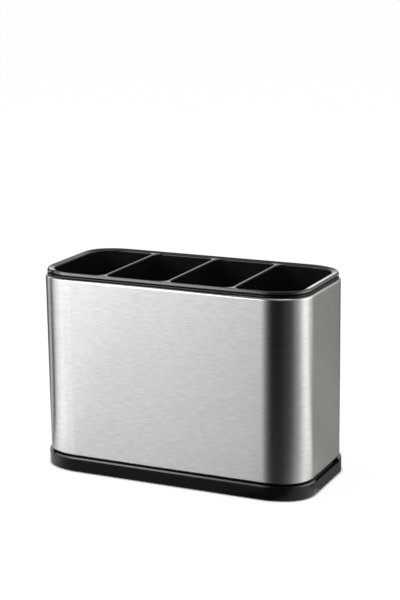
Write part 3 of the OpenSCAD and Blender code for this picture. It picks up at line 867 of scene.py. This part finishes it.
class BuildStage(bpy.types.Operator):
    """White floor, soft studio light and the camera"""
    bl_idname = "holder.build_stage"
    bl_label = "Stage"

    def execute(self, context):
        self.camera(context)
        self.world(context)
        self.floor()
        self.dome()
        for name, values in SOFTBOXES.items():
            self.softbox(name, *values)
        return {"FINISHED"}

    def camera(self, context):
        """Camera at the photograph's viewing angle."""
        azimuth, elevation = math.radians(CAMERA_AZIMUTH), math.radians(CAMERA_ELEVATION)
        roll = Matrix.Rotation(math.radians(CAMERA_ROLL), 3, "Z")
        back = Vector((math.sin(azimuth) * math.cos(elevation), -math.cos(azimuth) * math.cos(elevation),
                       math.sin(elevation)))
        right = Vector((math.cos(azimuth), math.sin(azimuth), 0.0))
        turn = Matrix((right, back.cross(right), back)).transposed() @ roll
        data = bpy.data.cameras.new("camera")
        data.lens = CAMERA_LENS
        camera = bpy.data.objects.new("camera", data)
        camera.matrix_world = Matrix.Translation(CAMERA_TARGET + back * CAMERA_DISTANCE) @ turn.to_4x4()
        context.scene.collection.objects.link(camera)
        context.scene.camera = camera

    def world(self, context):
        """Even world: white where it is seen, and a plain soft light elsewhere."""
        world = bpy.data.worlds.new("studio")
        context.scene.world = world
        world.use_nodes = True
        tree = world.node_tree
        tree.nodes.clear()
        seen = self.seen(tree)
        strength = add_node(tree, "ShaderNodeMapRange",
                            inputs={"Value": seen, "To Min": WORLD_LIGHT, "To Max": WORLD_SEEN})
        light = add_node(tree, "ShaderNodeBackground",
                         inputs={"Color": (*WHITE, 1.0), "Strength": strength.outputs[0]})
        add_node(tree, "ShaderNodeOutputWorld", inputs={"Surface": light.outputs[0]})

    def seen(self, tree):
        """One for camera, glossy and transmission rays, and nothing for the rest."""
        path = add_node(tree, "ShaderNodeLightPath").outputs
        first = add_node(tree, "ShaderNodeMath", {"operation": "MAXIMUM"},
                         {0: path["Is Camera Ray"], 1: path["Is Glossy Ray"]})
        both = add_node(tree, "ShaderNodeMath", {"operation": "MAXIMUM"},
                        {0: first.outputs[0], 1: path["Is Transmission Ray"]})
        return both.outputs[0]

    def floor(self):
        """Wide white floor that still takes the holder's shadow."""
        material, tree = new_material("white_floor")
        paper = add_node(tree, "ShaderNodeBsdfDiffuse", inputs={"Color": (*[FLOOR_PAPER] * 3, 1.0)})
        glow = add_node(tree, "ShaderNodeEmission", inputs={"Strength": FLOOR_GLOW})
        # The glow stops where the holder stands on the floor, so that its contact shadow stays dark
        open_sky = add_node(tree, "ShaderNodeAmbientOcclusion", inputs={"Distance": CONTACT_REACH * MM})
        glowing = add_node(tree, "ShaderNodeMapRange", inputs={
            "Value": open_sky.outputs["AO"], "From Min": CONTACT_SKY[0], "From Max": CONTACT_SKY[1],
            "To Max": GLOW_SHARE})
        share = add_node(tree, "ShaderNodeMath", {"operation": "MULTIPLY"},
                         {0: self.seen(tree), 1: glowing.outputs[0]})
        both = add_node(tree, "ShaderNodeMixShader",
                        inputs={0: share.outputs[0], 1: paper.outputs[0], 2: glow.outputs[0]})
        add_node(tree, "ShaderNodeOutputMaterial", inputs={"Surface": both.outputs[0]})
        sheet = bmesh.new()
        bmesh.ops.create_grid(sheet, x_segments=1, y_segments=1, size=FLOOR_SIZE / 2)
        floor = new_object("floor", sheet)
        floor.location.z = -FLOOR_DROP * MM
        floor.data.materials.append(material)

    def dome_material(self):
        """Bright panels with dark gaps between them, above a floor that shows them weaker."""
        material, tree = new_material("light_dome")
        place = add_node(tree, "ShaderNodeTexCoord").outputs["Object"]
        turned = add_node(tree, "ShaderNodeMapping",
                          inputs={"Vector": place, "Rotation": (0, 0, math.pi / 2)})
        around = add_node(tree, "ShaderNodeTexGradient", {"gradient_type": "RADIAL"},
                          {0: turned.outputs[0]}).outputs["Fac"]
        axes = add_node(tree, "ShaderNodeSeparateXYZ", inputs={0: place}).outputs
        on_floor = add_node(tree, "ShaderNodeMath", {"operation": "LESS_THAN"},
                            {0: axes["Z"], 1: DOME_FLOOR * MM}).outputs[0]
        rise = add_node(tree, "ShaderNodeMath", {"operation": "DIVIDE"}, {0: axes["Z"], 1: DOME_RADIUS})
        # Distance across the floor from the sides of the sleeve
        folded = add_node(tree, "ShaderNodeVectorMath", {"operation": "ABSOLUTE"}, {0: place})
        past = add_node(tree, "ShaderNodeVectorMath", {"operation": "SUBTRACT"},
                        {0: folded.outputs[0], 1: (HALF_W, HALF_D, DOME_RADIUS)})
        beside = add_node(tree, "ShaderNodeVectorMath", {"operation": "MAXIMUM"},
                          {0: past.outputs[0], 1: (0, 0, 0)})
        away = add_node(tree, "ShaderNodeVectorMath", {"operation": "LENGTH"}, {0: beside.outputs[0]})
        reach = add_node(tree, "ShaderNodeMath", {"operation": "DIVIDE"},
                         {0: away.outputs["Value"], 1: DOME_RADIUS})
        light = {}
        for name, along, stops in (
                ("panels", around, by_azimuth(DOME_LIGHT, WARM_FROM)),
                ("rise", rise.outputs[0], [(*stop, WHITE) for stop in DOME_RISE]),
                ("fade", reach.outputs[0], by_distance(FLOOR_FADE)),
                ("sides", around, by_azimuth(FLOOR_SIDES)),
                ("near", reach.outputs[0], by_distance(FLOOR_NEAR)),
                ("close", around, by_azimuth(NEAR_LIGHT))):
            light[name] = add_node(tree, "ShaderNodeValToRGB", {"stops": stops}, {"Fac": along}).outputs[0]
        # The strip of floor that the front face mirrors runs off at the camera's angle on the other side
        lean = math.tan(math.radians(CAMERA_AZIMUTH))
        strip = add_node(tree, "ShaderNodeVectorMath", {"operation": "DOT_PRODUCT"},
                         {0: place, 1: (1, -lean, 0)})
        aside = add_node(tree, "ShaderNodeMath", {"operation": "SUBTRACT"},
                         {0: strip.outputs["Value"], 1: lean * HALF_D})
        apart = add_node(tree, "ShaderNodeMath", {"operation": "ABSOLUTE"}, {0: aside.outputs[0]})
        facing = add_node(tree, "ShaderNodeMapRange", inputs={
            "Value": apart.outputs[0], "From Min": FRONT_EDGE[0] * MM, "From Max": FRONT_EDGE[1] * MM,
            "To Min": 1.0, "To Max": 0.0})
        ahead = add_node(tree, "ShaderNodeMath", {"operation": "LESS_THAN"}, {0: axes["Y"], 1: -HALF_D})
        low = add_node(tree, "ShaderNodeMath", {"operation": "MULTIPLY"},
                       {0: ahead.outputs[0], 1: on_floor})
        mirrored = add_node(tree, "ShaderNodeMath", {"operation": "MULTIPLY"},
                            {0: low.outputs[0], 1: facing.outputs[0]})
        # The panels above, weaker on the floor, which close to the sleeve has its own light
        mix, multiply = {"data_type": "RGBA"}, {"data_type": "RGBA", "blend_type": "MULTIPLY"}
        even = add_node(tree, "ShaderNodeMath", {"operation": "MULTIPLY"}, {0: light["near"], 1: on_floor})
        sources = add_node(tree, "ShaderNodeMix", mix, {
            "Factor": mirrored.outputs[0], MIX_A: light["panels"], MIX_B: (*[FRONT_FLOOR] * 3, 1.0)})
        lower = add_node(tree, "ShaderNodeMix", multiply,
                         {"Factor": 1.0, MIX_A: light["fade"], MIX_B: light["sides"]})
        share = add_node(tree, "ShaderNodeMix", mix, {
            "Factor": on_floor, MIX_A: light["rise"], MIX_B: lower.outputs[MIX_RESULT]})
        shone = add_node(tree, "ShaderNodeMix", multiply, {
            "Factor": 1.0, MIX_A: sources.outputs[MIX_RESULT], MIX_B: share.outputs[MIX_RESULT]})
        lit = add_node(tree, "ShaderNodeMix", mix, {
            "Factor": even.outputs[0], MIX_A: shone.outputs[MIX_RESULT], MIX_B: light["close"]})
        glow = add_node(tree, "ShaderNodeEmission", inputs={"Color": lit.outputs[MIX_RESULT]})
        add_node(tree, "ShaderNodeOutputMaterial", inputs={"Surface": glow.outputs[0]})
        return material

    def dome(self):
        """Light dome around the holder, seen only in reflections."""
        turns = [math.pi / 2 * k / DOME_RINGS for k in range(DOME_RINGS)]
        dome = new_object("light_dome", loft([
            ring(DOME_RADIUS * math.cos(a), DOME_RADIUS * math.sin(a), DOME_STEPS) for a in turns]))
        dome.location.z = DOME_LIFT * MM
        dome.data.materials.append(self.dome_material())
        dome.visible_camera = dome.visible_diffuse = dome.visible_shadow = False

    def softbox(self, name, place, width, height, power):
        """An area lamp that faces the holder."""
        data = bpy.data.lights.new(name, "AREA")
        data.shape = "RECTANGLE"
        data.size, data.size_y, data.energy = width, height, power
        lamp = bpy.data.objects.new(name, data)
        lamp.location = place
        aim = Vector((0, 0, SLEEVE_HIGH.z / 2)) - lamp.location
        lamp.rotation_euler = aim.to_track_quat("-Z", "Y").to_euler()
        lamp.visible_camera = False
        bpy.context.scene.collection.objects.link(lamp)


class HolderPanel(bpy.types.Panel):
    """Sidebar panel with the sizes, finishes and builders of the holder"""
    bl_idname = "VIEW3D_PT_holder"
    bl_label = "Utensil holder"
    bl_space_type = "VIEW_3D"
    bl_region_type = "UI"
    bl_category = "Holder"

    def draw(self, context):
        for operator in BUILDERS:
            self.layout.operator(operator.bl_idname)
        for attribute, group in GROUPS.items():
            box = self.layout.box()
            box.label(text=group.__doc__)
            for name in group.__annotations__:
                box.prop(getattr(context.scene, attribute), name)


BUILDERS = (BuildStage, BuildSleeve, BuildCollar, BuildLiner, BuildTray, BuildFeet)
GROUPS = {"holder_sleeve": SleeveSizes, "holder_collar": CollarSizes, "holder_liner": LinerSizes,
          "holder_tray": TraySizes, "holder_feet": FootSizes, "holder_finishes": Finishes}
CLASSES = (*GROUPS.values(), *BUILDERS, HolderPanel)


def register():
    """Registers the classes and hangs the property groups on the scene."""
    for cls in CLASSES:
        bpy.utils.register_class(cls)
    for attribute, group in GROUPS.items():
        setattr(bpy.types.Scene, attribute, PointerProperty(type=group))


def unregister():
    """Takes the property groups and the classes away again."""
    for attribute in GROUPS:
        delattr(bpy.types.Scene, attribute)
    for cls in reversed(CLASSES):
        bpy.utils.unregister_class(cls)


def main():
    register()
    bpy.context.scene.view_settings.view_transform = "Standard"
    bpy.ops.holder.build_stage()
    bpy.ops.holder.build_sleeve()
    bpy.ops.holder.build_collar()
    bpy.ops.holder.build_liner()
    bpy.ops.holder.build_tray()
    bpy.ops.holder.build_feet()


if __name__ == "__main__":
    main()
